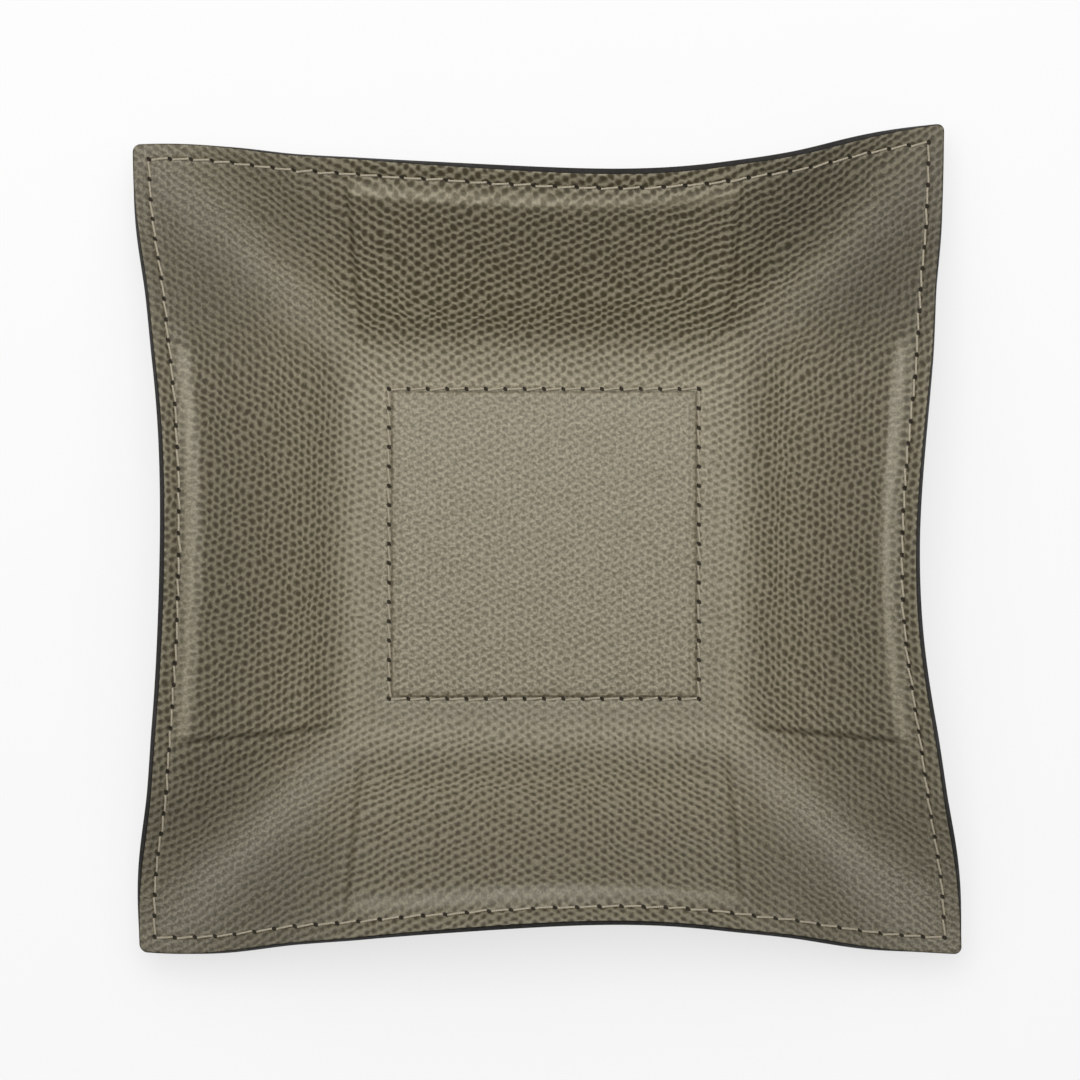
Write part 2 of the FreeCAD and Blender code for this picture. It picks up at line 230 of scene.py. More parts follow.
def ray_bearings(corner_slope):
    """Bearing of each ray of the corner, so that the leather is bent there and not stretched."""
    slopes = ray_elevation(RAY_ANGLES, corner_slope)
    step = RAY_ANGLES[1]
    rates = np.diff(slopes) / step
    turns = np.sqrt(np.maximum(1 - rates**2, 0)) / np.cos((slopes[1:] + slopes[:-1]) / 2)
    return np.concatenate(([0.0], np.cumsum(turns * step)))


def solve_corner_slope():
    """The slope of the corner's diagonal at which its rays fill a right angle in plan."""
    low, high = 0.0, WALL_END_SLOPE
    for _ in range(SOLVER_ROUNDS):
        middle = (low + high) / 2
        if ray_bearings(middle)[-1] < math.pi / 2:
            low = middle
        else:
            high = middle
    return (low + high) / 2


CORNER_SLOPE = solve_corner_slope()
BEARINGS = ray_bearings(CORNER_SLOPE)


def sharp_points(u, v):
    """The blank folded with sharp folds, its walls bowed and its corners conical."""
    along, across = np.abs(u), np.abs(v)
    past_u = np.maximum(along - FOLD_HALF, 0)
    past_v = np.maximum(across - FOLD_HALF, 0)
    run = np.hypot(past_u, past_v)
    angle = np.arctan2(past_u, past_v)
    bow = WALL_SLOPE - WALL_END_SLOPE
    slope = ray_elevation(angle, CORNER_SLOPE)
    slope = slope + np.where(past_u == 0, bow * (1 - (along / FOLD_HALF) ** 2), 0)
    slope = slope + np.where((past_v == 0) & (past_u > 0), bow * (1 - (across / FOLD_HALF) ** 2), 0)
    bearing = np.interp(angle, RAY_ANGLES, BEARINGS)
    reach = run * np.cos(slope)
    x = np.minimum(along, FOLD_HALF) + reach * np.sin(bearing)
    y = np.minimum(across, FOLD_HALF) + reach * np.cos(bearing)
    return np.stack((np.copysign(x, u), np.copysign(y, v), run * np.sin(slope)), -1)


def softness(place):
    """Half width of a bend, which narrows from the floor up to the rim."""
    climb = clamp01((np.abs(place) - FOLD_HALF) / WALL_WIDTH)
    return FOLD_SOFTNESS * (1 - (1 - CORNER_SOFTNESS_SHARE) * climb)


def tip_share(place):
    """0 up to where the corner tips start to lie flatter, 1 at the tip."""
    return np.maximum(np.abs(place) - TIP_START, 0) / (BLANK_HALF - TIP_START)


def soft_points(u, v):
    """The blank with soft folds, the mean of the sharp fold around each point, and flatter tips."""
    offsets = (2 * np.arange(STENCIL_COUNT) + 1) / STENCIL_COUNT - 1
    wide_u, wide_v = softness(v), softness(u)
    total = np.zeros(np.shape(u) + (3,))
    for shift_u in offsets:
        for shift_v in offsets:
            total += sharp_points(u + shift_u * wide_u, v + shift_v * wide_v)
    points = total / STENCIL_COUNT**2
    points[..., 2] -= TIP_DROOP * (tip_share(u) * tip_share(v)) ** 2
    return points


def surface(u, v):
    """Points and normals of the folded glue line."""
    step = NORMAL_STEP
    along = soft_points(u + step, v) - soft_points(u - step, v)
    across = soft_points(u, v + step) - soft_points(u, v - step)
    normals = np.cross(along, across)
    return soft_points(u, v), normals / np.linalg.norm(normals, axis=-1, keepdims=True)


# The uneven rim and the relief of both leathers.


def rippled(side, share):
    """The short wave of one side of the rim, along its length from -1 to 1."""
    height, length, crest = RIM_RIPPLE[side]
    return height * np.cos(2 * math.pi * (share - crest) / length)


def strayed(u, v):
    """Where a place of the cut blank lies on the fold, with the rim's uneven cut."""
    a, b = u / BLANK_HALF, v / BLANK_HALF
    weight_u = {-1: a * (a - 1) / 2, 0: 1 - a * a, 1: a * (a + 1) / 2}
    weight_v = {-1: b * (b - 1) / 2, 0: 1 - b * b, 1: b * (b + 1) / 2}
    reach = np.maximum(np.abs(u), np.abs(v))
    fade = rise(reach, STRAY_START, BLANK_HALF - STRAY_START)
    shift_u, shift_v = (
        sum(weight_u[i] * weight_v[j] * move[k] for (i, j), move in RIM_STRAY.items()) for k in (0, 1)
    )
    north, south, east, west = (clamp01(share) ** 2 for share in (b, -b, a, -a))
    sway_u, sway_v = SWAY_SCALE * b * (1 - b * b), SWAY_SCALE * a * (1 - a * a)
    shift_u = shift_u + sway_u * (RIM_SWAY["east"] * east + RIM_SWAY["west"] * west)
    shift_v = shift_v + sway_v * (RIM_SWAY["north"] * north + RIM_SWAY["south"] * south)
    shift_u = shift_u + rippled("east", b) * east - rippled("west", b) * west
    shift_v = shift_v + rippled("north", a) * north - rippled("south", a) * south
    return u + fade * shift_u, v + fade * shift_v


def sloped(place, other, side_after, side_before, low):
    """A flat coordinate moved in along the sloping cut edge by the share that low gives."""
    near = clamp01((np.abs(place) - BLANK_HALF) / EDGE_SLOPE_WIDTH + 1)
    at = other / BLANK_HALF
    after, before = (np.interp(at, (-1, 0, 1), EDGE_SLOPE[side]) for side in (side_after, side_before))
    return place - np.sign(place) * np.where(place > 0, after, before) * near * low


def lay(u, v, height):
    """Places in space, in mm, of flat points at heights above the glue line."""
    low = clamp01((TOP_FACE - EDGE_ROLL - height) / (TOP_FACE - EDGE_ROLL - UNDERSIDE))
    u, v = strayed(u, v)
    points, normals = surface(sloped(u, v, "east", "west", low), sloped(v, u, "north", "south", low))
    places = points + normals * height[..., None]
    places[..., 2] -= UNDERSIDE
    return places


def wall_rise(along, across, side):
    """Lift over one wall board, with a crease past each of its ends."""
    before, after = CREASES[side]
    crease = np.where(along < 0, before, after)
    past = np.abs(along) - BOARD_END - BOARD_CLEARANCE - CREASE_SLANT * (across - BOARD_RIM)
    end = crease * ramp_down(past, CRISP_END_RAMP) + (1 - crease) * ramp_down(past, SOFT_END_RAMP)
    rim = ramp_down(across - BOARD_RIM - EDGE_SHIFT[side], RIM_RAMP, EDGE_CRISPNESS[side])
    foot = ramp_down(BOARD_FOOT - BOARD_CLEARANCE - across, FOOT_RAMP)
    length = rise(across, CREASE_FOOT, CREASE_RUN_IN) * rim
    valley = CREASE_DENT * crease * dent(np.abs(past - CRISP_END_RAMP), CREASE_DENT_WIDTH) * length
    return BOARD_RISE * end * rim * foot - valley


def board_rise(u, v):
    """How far the boards lift the top leather."""
    inside = BASE_BOARD_HALF + BOARD_CLEARANCE
    base = ramp_down(np.abs(u) - inside, BASE_RAMP) * ramp_down(np.abs(v) - inside, BASE_RAMP)
    reach = (np.abs(u) ** ROUND_SQUARE + np.abs(v) ** ROUND_SQUARE) ** (1 / ROUND_SQUARE)
    pad = ramp_down(reach - FLOOR_HALF, 2 * FOLD_SOFTNESS)
    walls = sum(wall_rise(*side) for side in four_sides(u, v))
    return BASE_STEP * base + (BASE_RISE - BASE_STEP) * pad + walls


def unevenness(u, v):
    """Slow swells of the grain side, as of leather laid by hand."""
    swells = (np.sin(2 * math.pi * (a * u + b * v) + start) for a, b, start in UNEVEN_SWELLS)
    return UNEVEN_HEIGHT * sum(swells)


def rolled(u, v):
    """How far the rolled edge draws in a face of the leather."""
    return EDGE_ROLL * dent(square_distance(u, v, BLANK_HALF), EDGE_ROLL_WIDTH) ** 2


def top_height(u, v):
    """Height of the grain side over the glue line: boards, sewn seams and the rolled edge."""
    height = TOP_FACE + board_rise(*strayed(u, v)) + unevenness(u, v)
    for half in (RIM_SEAM_HALF, BASE_SEAM_HALF):
        height = height - SEAM_DENT * dent(square_distance(u, v, half), SEAM_DENT_WIDTH)
    return height - rolled(u, v)


# Meshes.


def axis_lines(spans):
    """Places of the grid lines on one axis, from (end of span, step) pairs of its positive half."""
    places = [0.0]
    for end, step in spans:
        start = places[-1]
        count = max(1, round((end - start) / step))
        places += [start + (end - start) * (k + 1) / count for k in range(count)]
    return np.array([-p for p in reversed(places[1:])] + places)


def blank_grid(lines):
    """Flat places of a grid over the blank, its four corners rounded."""
    u, v = np.meshgrid(lines, lines, indexing="ij")
    start = BLANK_HALF - CORNER_RADIUS
    a = clamp01((np.abs(u) - start) / CORNER_RADIUS)
    b = clamp01((np.abs(v) - start) / CORNER_RADIUS)
    round_u = start + CORNER_RADIUS * a * np.sqrt(1 - b * b / 2)
    round_v = start + CORNER_RADIUS * b * np.sqrt(1 - a * a / 2)
    corner = (a > 0) & (b > 0)
    return np.where(corner, np.copysign(round_u, u), u), np.where(corner, np.copysign(round_v, v), v)


def rim_walk(count):
    """Grid indices (i, j) round the rim, counter-clockwise from above, each once."""
    last = count - 1
    walk = [(i, 0) for i in range(last)] + [(last, j) for j in range(last)]
    return walk + [(i, last) for i in range(last, 0, -1)] + [(0, j) for j in range(last, 0, -1)]


def new_piece(name, places, faces, material, node, maps=None, attributes=None):
    """A smooth-shaded mesh piece in place of a CAD node. Places are in mm."""
    mesh = bpy.data.meshes.new(name)
    mesh.from_pydata((places * MM).tolist(), [], faces)
    mesh.shade_smooth()
    corners = np.empty(len(mesh.loops), dtype=np.int64)
    mesh.loops.foreach_get("vertex_index", corners)
    for label, values in (maps or {}).items():
        values = np.asarray(values, dtype=np.float32)
        layer = mesh.uv_layers.new(name=label)
        layer.data.foreach_set("uv", (values[corners] if len(values) == len(places) else values).ravel())
    for label, values in (attributes or {}).items():
        layer = mesh.attributes.new(label, "FLOAT", "POINT")
        layer.data.foreach_set("value", np.asarray(values, dtype=np.float32).ravel())
    mesh.materials.append(material)
    piece = bpy.data.objects.new(name, mesh)
    bpy.context.scene.collection.objects.link(piece)
    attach(piece, "root")
    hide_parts(node)
    return piece


# Layout of the map for baking: a square for each face, and four rows of strips for the cut edge.
BAKE_FINE_AT = 0.01
BAKE_FINE_SIDE = 0.78
BAKE_COARSE_AT = (0.81, 0.01)
BAKE_COARSE_SIDE = 0.18
BAKE_STRIPS_AT = (0.81, 0.25)
BAKE_STRIPS_SIZE = (0.18, 0.03)
BAKE_STRIP_FILL = 0.8


def layered_sheet(fine, coarse_step, fine_height, coarse_height, fine_on_top):
    """A closed sheet with a fine face and a coarse face: places, faces, flat places and bake map."""
    coarse = fine[::coarse_step]
    fine_count, coarse_count = len(fine), len(coarse)
    offset = fine_count**2
    places, flat = [], []
    for lines, height in ((fine, fine_height), (coarse, coarse_height)):
        u, v = blank_grid(lines)
        places.append(lay(u, v, height(u, v)).reshape(-1, 3))
        flat.append(np.stack((u, v), -1).reshape(-1, 2))
    places, flat = np.concatenate(places), np.concatenate(flat)

    def quads(count, first, upwards):
        starts = [first + i * count + j for i in range(count - 1) for j in range(count - 1)]
        made = [(at, at + count, at + count + 1, at + 1) for at in starts]
        return made if upwards else [quad[::-1] for quad in made]

    faces = quads(fine_count, 0, fine_on_top) + quads(coarse_count, offset, not fine_on_top)
    grid_faces = len(faces)
    strips = []
    fine_walk = [i * fine_count + j for i, j in rim_walk(fine_count)]
    coarse_walk = [offset + i * coarse_count + j for i, j in rim_walk(coarse_count)]
    shares = [(0.0, 0.0), (1.0, 0.0)] + [(s / coarse_step, 1.0) for s in range(coarse_step, -1, -1)]
    for k, near in enumerate(coarse_walk):
        far = coarse_walk[(k + 1) % len(coarse_walk)]
        first = k * coarse_step
        between = [fine_walk[(first + s) % len(fine_walk)] for s in range(coarse_step, -1, -1)]
        side = [near, far] + between
        faces.append(side if fine_on_top else side[::-1])
        row, at = divmod(k, coarse_count - 1)
        strip = [((at + along) / (coarse_count - 1), row + BAKE_STRIP_FILL * up) for along, up in shares]
        strips += strip if fine_on_top else strip[::-1]
    share = (flat / BLANK_HALF + 1) / 2
    on_fine = (np.arange(len(flat)) < offset)[:, None]
    fine_map = BAKE_FINE_AT + BAKE_FINE_SIDE * share
    bake = np.where(on_fine, fine_map, BAKE_COARSE_AT + BAKE_COARSE_SIDE * share)
    corners = np.ravel(faces[:grid_faces])
    strips = np.array(BAKE_STRIPS_AT) + np.array(strips) * BAKE_STRIPS_SIZE
    return places, faces, flat, np.concatenate((bake[corners], strips))


# Shader helpers.


class Shader:
    """A material's node tree, with short calls that add nodes and join them."""

    def __init__(self, name, kind="materials"):
        self.owner = getattr(bpy.data, kind).new(name)
        self.owner.use_nodes = True
        self.tree = self.owner.node_tree
        self.tree.nodes.clear()

    def feed(self, socket, value):
        if isinstance(value, bpy.types.NodeSocket):
            self.tree.links.new(value, socket)
        else:
            socket.default_value = value

    def add(self, kind, settings=None, **sockets):
        node = self.tree.nodes.new("ShaderNode" + kind)
        for key, value in (settings or {}).items():
            setattr(node, key, value)
        for key, value in sockets.items():
            self.feed(node.inputs[key.replace("_", " ")], value)
        return node

    def reckon(self, kind, operation, values):
        node = self.add(kind, {"operation": operation})
        for socket, value in zip(node.inputs, values):
            self.feed(socket, value)
        return node.outputs

    def math(self, operation, *values):
        return self.reckon("Math", operation, values)[0]

    plus = partialmethod(math, "ADD")
    minus = partialmethod(math, "SUBTRACT")
    times = partialmethod(math, "MULTIPLY")
    largest = partialmethod(math, "MAXIMUM")
    absolute = partialmethod(math, "ABSOLUTE")

    def vector(self, operation, *values):
        outputs = self.reckon("VectorMath", operation, values)
        return outputs["Value" if operation == "DOT_PRODUCT" else "Vector"]

    def step(self, value, low, high, start=0.0, end=1.0):
        """Smooth step of a value from low to high."""
        node = self.add("MapRange", {"interpolation_type": "SMOOTHSTEP"}, Value=value)
        for key, number in (("From Min", low), ("From Max", high), ("To Min", start), ("To Max", end)):
            self.feed(node.inputs[key], number)
        return node.outputs["Result"]

    def mix(self, factor, first, second, blend="MIX"):
        """Colour mix by a factor. The node's sockets for colours are the seventh, eighth and third."""
        node = self.add("Mix", {"data_type": "RGBA", "blend_type": blend})
        self.feed(node.inputs[0], factor)
        self.feed(node.inputs[6], first)
        self.feed(node.inputs[7], second)
        return node.outputs[2]

    def noise(self, vector, scale, detail=2.0, roughness=0.5, output="Fac"):
        node = self.add("TexNoise", Vector=vector, Scale=scale, Detail=detail, Roughness=roughness)
        return node.outputs[output]

    def map(self, name):
        return self.add("UVMap", {"uv_map": name}).outputs["UV"]

    def place(self):
        return self.add("TexCoord").outputs["Object"]

    def wander(self, vector, scale, reach):
        """Noise in the plane that strays about half as far as the reach to each side."""
        noise = self.noise(vector, scale, 1.0, output="Color")
        noise = self.vector("SUBTRACT", noise, (0.5, 0.5, 0.5))
        return self.vector("MULTIPLY", noise, (reach, reach, 0.0))

    def finish(self, colour, roughness, normal, **fixed):
        gloss = self.add("BsdfPrincipled", Base_Color=colour, Roughness=roughness, Normal=normal, **fixed)
        self.add("OutputMaterial", Surface=gloss.outputs[0])
        return self.owner

    def show(self, output, share, first, second):
        """A mix of two surfaces or backgrounds as the whole look."""
        joined = self.add("MixShader", Fac=share)
        self.feed(joined.inputs[1], first.outputs[0])
        self.feed(joined.inputs[2], second.outputs[0])
        self.add(output, Surface=joined.outputs[0])
        return self.owner

    def bump(self, height, distance):
        return self.add("Bump", Height=height, Distance=distance).outputs["Normal"]


def rgb(red, green, blue):
    return (red, green, blue, 1.0)


# The grain: a net of thin raised lines in three families, two of them leaning. Steps from pit to pit in mm.
GRAIN_STEP_A = (1.45, 0.72)
GRAIN_STEP_B = (-1.38, 1.0)
GRAIN_CROSS = GRAIN_STEP_A[0] * GRAIN_STEP_B[1] - GRAIN_STEP_A[1] * GRAIN_STEP_B[0]
GRAIN_AXIS_A = (GRAIN_STEP_B[1] / GRAIN_CROSS, -GRAIN_STEP_B[0] / GRAIN_CROSS, 0.0)
GRAIN_AXIS_B = (-GRAIN_STEP_A[1] / GRAIN_CROSS, GRAIN_STEP_A[0] / GRAIN_CROSS, 0.0)

# How the grain is drawn out up the walls, and where towards the corners that fades to a share.
WALL_STRETCH = 0.12
NORTH_STRETCH = 0.18
SOUTH_STRETCH = 0.1
STRETCH_FADE = (18.0, 52.0)
CORNER_STRETCH_SHARE = 0.4
SIDE_SWITCH = 0.01

# How the grain wanders: (waves per mm, reach in mm).
WIDE_WANDER = (0.16, 2.0)
TIGHT_WANDER = (0.7, 0.75)

# Noise in the leather: (waves per mm, detail, roughness).
FINE_NOISE = (3.2, 3.0, 0.6)
GRIT_NOISE = (1.8, 2.0, 0.5)
UNEVEN_NOISE = (0.8, 2.0)

# The pits' borders, the crests, which get a painted highlight, and the specks.
UNEVEN_NET = 0.35
OPENING_NET = 0.85
OPENING_BASE = 0.35
PIT_RANGE = (-0.3, 1.2)
CREST_RANGE = (-0.12, -0.52)
CREST_SHARE = (0.2, 0.6)
SPECKLE_NET = -0.5
SPECKLE_GRIT = 2.4
SPECKLE_RANGE = 0.8

# Needle holes: half sizes in mm, slant, and how softly their border falls off.
HOLE_LONG = 0.48
HOLE_SHORT = 0.34
HOLE_SLANT = math.radians(35)
HOLE_BORDER = (0.6, 1.4)

# Painted shade lines inside the base seam, where the leather creases, strongest in the south: (how far
# inside, half width, strength).
SEAM_SHADE_LINES = ((0.55, 0.36, 0.75), (1.9, 0.4, 0.2))
SHADE_LINE_BREAKS = (-0.2, 0.15, 0.6, 1.0)
SOUTH_SHADE_LINES = (1 - BASE_SEAM_HALF, 4 - BASE_SEAM_HALF, 1.15, 0.85)

# Heights of the grain in mm.
PIT_DEEP = 0.12
SPECK_HIGH = 0.07
FINE_HIGH = 0.03
HOLE_DEEP = 0.4

# The pits' colour is partly dye gathered in them and partly painted shade.
PIT_DYE_AND_PAINTED_SHADE = rgb(0.053, 0.041, 0.016)
RIDGE_COLOUR = rgb(0.310, 0.271, 0.180)
CREST_PAINTED_HIGHLIGHT = rgb(0.400, 0.356, 0.248)
SPECK_DIP_TONE_AND_PAINTED_SHADE = rgb(0.130, 0.112, 0.071)
SPECK_TOP_TONE_AND_PAINTED_HIGHLIGHT = rgb(0.345, 0.311, 0.226)
CREASE_PAINTED_SHADE = rgb(0.045, 0.035, 0.020)
# Needle holes are painted dark: painted shade inside the holes.
HOLE_PAINTED_SHADE = rgb(0.016, 0.012, 0.007)
HOLE_SHADE_SHARE = 0.95

# Tone and roughness by the noise, as (noise from, to, value from, to), and what pits and holes add.
FINE_TONE = (0.3, 0.7, 0.86, 1.14)
GRIT_TONE = (-0.2, 0.2, 0.88, 1.12)
GRAIN_ROUGH = (0.25, 0.75, 0.44, 0.54)
PIT_ROUGH = 0.14
HOLE_ROUGH = 0.4

GRAIN_ATTRIBUTES = (
    "grain_depth", "grain_lean", "grain_upright", "grain_specks", "grain_shade", "grain_opening",
)


def needle_holes(look, along, across, half, pitch):
    """Slanted needle holes along two sides of a square seam: 1 in a hole, 0 off it."""
    turns = look.plus(look.math("DIVIDE", along, pitch), half / pitch + 0.5)
    near = look.times(look.minus(look.math("FRACT", turns), 0.5), pitch)
    side = look.times(look.math("SIGN", across), half)
    off = look.minus(across, side)
    cosine, sine = math.cos(HOLE_SLANT), math.sin(HOLE_SLANT)
    long = look.minus(look.times(near, cosine), look.times(off, sine))
    short = look.plus(look.times(near, sine), look.times(off, cosine))
    long = look.math("POWER", look.math("DIVIDE", long, HOLE_LONG), 2.0)
    short = look.math("POWER", look.math("DIVIDE", short, HOLE_SHORT), 2.0)
    hole = look.step(look.plus(long, short), *HOLE_BORDER, 1.0, 0.0)
    within = look.math("LESS_THAN", look.absolute(along), half + HOLE_LONG)
    return look.times(hole, within)


def stretched(look, place, other, after, before):
    """A flat coordinate as the grain takes it: drawn out up the walls, and less so towards the corners."""
    size = look.absolute(place)
    beside = look.absolute(other)
    past = look.largest(look.minus(size, FLOOR_HALF), 0.0)
    share = look.step(place, -SIDE_SWITCH, SIDE_SWITCH, before, after)
    share = look.times(share, look.step(beside, *STRETCH_FADE, 1.0, CORNER_STRETCH_SHARE))
    moved = look.minus(size, look.times(past, share))
    return look.times(moved, look.math("SIGN", place))


def grained_leather():
    look = Shader("grained_leather")
    flat = look.map("Flat")
    split = look.add("SeparateXYZ", Vector=flat)
    u, v = split.outputs["X"], split.outputs["Y"]
    depth, lean, upright, specks, shade, opening = (
        look.add("Attribute", {"attribute_name": name}).outputs["Fac"] for name in GRAIN_ATTRIBUTES
    )

    # The grain is stretched up the walls, and wanders a little on a wide and on a narrow scale.
    drawn_u = stretched(look, u, v, WALL_STRETCH, WALL_STRETCH)
    drawn_v = stretched(look, v, u, NORTH_STRETCH, SOUTH_STRETCH)
    drawn = look.add("CombineXYZ", X=drawn_u, Y=drawn_v).outputs[0]
    off = look.vector("ADD", look.wander(flat, *WIDE_WANDER), look.wander(flat, *TIGHT_WANDER))
    place = look.vector("ADD", drawn, off)

    # Three families of lines, each with its share: pits where their waves meet, ridges between.
    turns_a = look.vector("DOT_PRODUCT", place, GRAIN_AXIS_A)
    turns_b = look.vector("DOT_PRODUCT", place, GRAIN_AXIS_B)
    turns_c = look.minus(turns_a, turns_b)
    share_a = look.minus(1.0, lean)
    share_b = look.plus(1.0, lean)
    relief = None
    for turns, share in ((turns_a, share_a), (turns_b, share_b), (turns_c, upright)):
        wave = look.math("COSINE", look.times(turns, 2 * math.pi))
        wave = look.times(wave, share)
        relief = wave if relief is None else look.plus(relief, wave)
    relief = look.math("DIVIDE", relief, look.plus(upright, 2.0))
    fine = look.noise(flat, *FINE_NOISE)
    grit = look.minus(look.noise(flat, *GRIT_NOISE), 0.5)
    uneven = look.minus(look.noise(flat, *UNEVEN_NOISE), 0.5)

    # Pits widen with the opening; where the net is pressed flat, specks show instead, with a painted
    # highlight on their tips and painted shade in their dips.
    wider = look.minus(look.times(opening, OPENING_NET), OPENING_BASE)
    net = look.plus(relief, look.times(uneven, UNEVEN_NET))
    net = look.plus(net, wider)
    pit = look.step(net, *PIT_RANGE)
    crest = look.step(relief, *CREST_RANGE)
    crest = look.times(crest, look.step(depth, 0.0, 1.0, *CREST_SHARE))
    speckle = look.times(relief, SPECKLE_NET)
    speckle = look.plus(speckle, look.times(grit, SPECKLE_GRIT))
    tip = look.step(speckle, -SPECKLE_RANGE, SPECKLE_RANGE, -0.5, 0.5)

    holes = None
    for half, pitch in ((RIM_SEAM_HALF, RIM_PITCH), (BASE_SEAM_HALF, BASE_PITCH)):
        for along, across in ((u, v), (v, u)):
            made = needle_holes(look, along, across, half, pitch)
            holes = made if holes is None else look.largest(holes, made)

    # Painted shade along fine creases where the leather steps down beside the base seam.
    square = look.largest(look.absolute(u), look.absolute(v))
    crease = None
    for inset, half_width, strength in SEAM_SHADE_LINES:
        off = look.absolute(look.minus(square, BASE_SEAM_HALF - inset))
        line = look.step(off, 0.0, half_width, strength, 0.0)
        crease = line if crease is None else look.largest(crease, line)
    crease = look.times(crease, look.step(uneven, *SHADE_LINE_BREAKS))
    crease = look.times(crease, look.step(v, *SOUTH_SHADE_LINES))

    net_pit = look.times(pit, depth)
    flat_tip = look.times(tip, specks)
    height = look.times(net_pit, -PIT_DEEP)
    height = look.plus(height, look.times(flat_tip, SPECK_HIGH))
    height = look.plus(height, look.times(fine, FINE_HIGH))
    height = look.minus(height, look.times(holes, HOLE_DEEP))
    normal = look.bump(height, MM)

    # Where the net is pressed flat: the leather's tone, with a painted highlight on the speck tips and
    # painted shade in the dips.
    pressed = look.mix(look.plus(flat_tip, 0.5), SPECK_DIP_TONE_AND_PAINTED_SHADE, SPECK_TOP_TONE_AND_PAINTED_HIGHLIGHT)
    colour = look.mix(depth, pressed, RIDGE_COLOUR)
    # Pits darker: partly dye, partly painted shade.
    colour = look.mix(net_pit, colour, PIT_DYE_AND_PAINTED_SHADE)
    # Painted highlight along the crests of the ridges.
    colour = look.mix(crest, colour, CREST_PAINTED_HIGHLIGHT)
    tone = look.times(look.step(fine, *FINE_TONE), look.step(grit, *GRIT_TONE))
    # The regions' painted light: painted shade on the walls, corners, rim, floor's south and wall foot, and
    # a painted highlight on the bands and tips.
    tone = look.times(tone, shade)
    tone = look.add("CombineXYZ", X=tone, Y=tone, Z=tone).outputs[0]
    colour = look.mix(1.0, colour, tone, "MULTIPLY")
    # Painted shade in the creases.
    colour = look.mix(crease, colour, CREASE_PAINTED_SHADE)
    # Painted shade in the needle holes.
    colour = look.mix(look.times(holes, HOLE_SHADE_SHARE), colour, HOLE_PAINTED_SHADE)
    rough = look.step(fine, *GRAIN_ROUGH)
    rough = look.plus(rough, look.times(net_pit, PIT_ROUGH))
    rough = look.plus(rough, look.times(holes, HOLE_ROUGH))
    return look.finish(colour, rough, normal, IOR=1.38)


# The lower leather: plain pebbles, so many per mm, with heights in mm.
BACKING_PEBBLES = 1.3
BACKING_PEBBLE_EDGE = 0.25
BACKING_PEBBLE_HIGH = 0.04
BACKING_FINE_HIGH = 0.03
BACKING_WEAR = (0.3, 0.7, 0.0, 0.35)
BACKING_ROUGH = (0.25, 0.75, 0.48, 0.60)
BACKING_DIP = rgb(0.105, 0.090, 0.058)
BACKING_PEBBLE = rgb(0.150, 0.131, 0.089)
BACKING_WORN = rgb(0.115, 0.099, 0.065)


def backing_leather():
    look = Shader("backing_leather")
    flat = look.map("Flat")
    pebble = look.add("TexVoronoi", {"feature": "DISTANCE_TO_EDGE"}, Vector=flat, Scale=BACKING_PEBBLES,
                      Randomness=0.95).outputs["Distance"]
    pebble = look.step(pebble, 0.0, BACKING_PEBBLE_EDGE)
    fine = look.noise(flat, 2.4, 3.0, 0.6)
    wear = look.noise(flat, 0.06, 3.0)
    height = look.plus(look.times(pebble, BACKING_PEBBLE_HIGH), look.times(fine, BACKING_FINE_HIGH))
    colour = look.mix(pebble, BACKING_DIP, BACKING_PEBBLE)
    colour = look.mix(look.step(wear, *BACKING_WEAR), colour, BACKING_WORN)
    rough = look.step(fine, *BACKING_ROUGH)
    return look.finish(colour, rough, look.bump(height, MM), IOR=1.48)


# The edge paint, with painted shade that makes it blacker on the south side: from where on, in m along Y.
PAINT_DARK = rgb(0.012, 0.011, 0.010)
PAINT_LIGHT = rgb(0.026, 0.024, 0.022)
PAINT_SOUTH_SHADE = rgb(0.003, 0.0025, 0.0018)
PAINT_SOUTH_SHADE_REACH = (-0.070, -0.030)
PAINT_ROUGH = (0.3, 0.7, 0.5, 0.65)
PAINT_BUMP = 0.03 * MM


def edge_paint():
    look = Shader("edge_paint")
    place = look.place()
    grain = look.noise(place, 900.0, 3.0)
    streak = look.noise(place, 160.0, 2.0)
    colour = look.mix(streak, PAINT_DARK, PAINT_LIGHT)
    along = look.add("SeparateXYZ", Vector=place).outputs["Y"]
    # Painted shade: the edge paint is made blacker towards the south.
    colour = look.mix(look.step(along, *PAINT_SOUTH_SHADE_REACH, 1.0, 0.0), colour, PAINT_SOUTH_SHADE)
    rough = look.step(grain, *PAINT_ROUGH)
    return look.finish(colour, rough, look.bump(grain, PAINT_BUMP), IOR=1.4, Specular_IOR_Level=0.1)


# The thread: its strands' lay, in turns per mm, their height and that of the fuzz in mm.
THREAD_LAY = 3.0
STRAND_HIGH = 0.05
FUZZ_HIGH = 0.02
FUZZ_SHARE = (0.35, 0.7, 0.0, 0.3)
# The grooves between the strands are darker: painted shade.
THREAD_GROOVE_SHADE = rgb(0.28, 0.24, 0.172)
THREAD_STRAND = rgb(0.5, 0.445, 0.34)
THREAD_FUZZ = rgb(0.33, 0.287, 0.204)


def sewing_thread():
    look = Shader("sewing_thread")
    twist = look.map("Twist")
    split = look.add("SeparateXYZ", Vector=twist)
    angle = look.plus(split.outputs["X"], look.times(split.outputs["Y"], THREAD_LAY))
    strand = look.absolute(look.math("SINE", look.times(angle, math.pi)))
    place = look.place()
    fuzz = look.noise(place, 4500.0, 2.0)
    # Painted shade in the grooves between the strands.
    colour = look.mix(strand, THREAD_GROOVE_SHADE, THREAD_STRAND)
    colour = look.mix(look.step(fuzz, *FUZZ_SHARE), colour, THREAD_FUZZ)
    height = look.plus(look.times(strand, STRAND_HIGH), look.times(fuzz, FUZZ_HIGH))
    return look.finish(colour, 0.62, look.bump(height, MM), IOR=1.45)


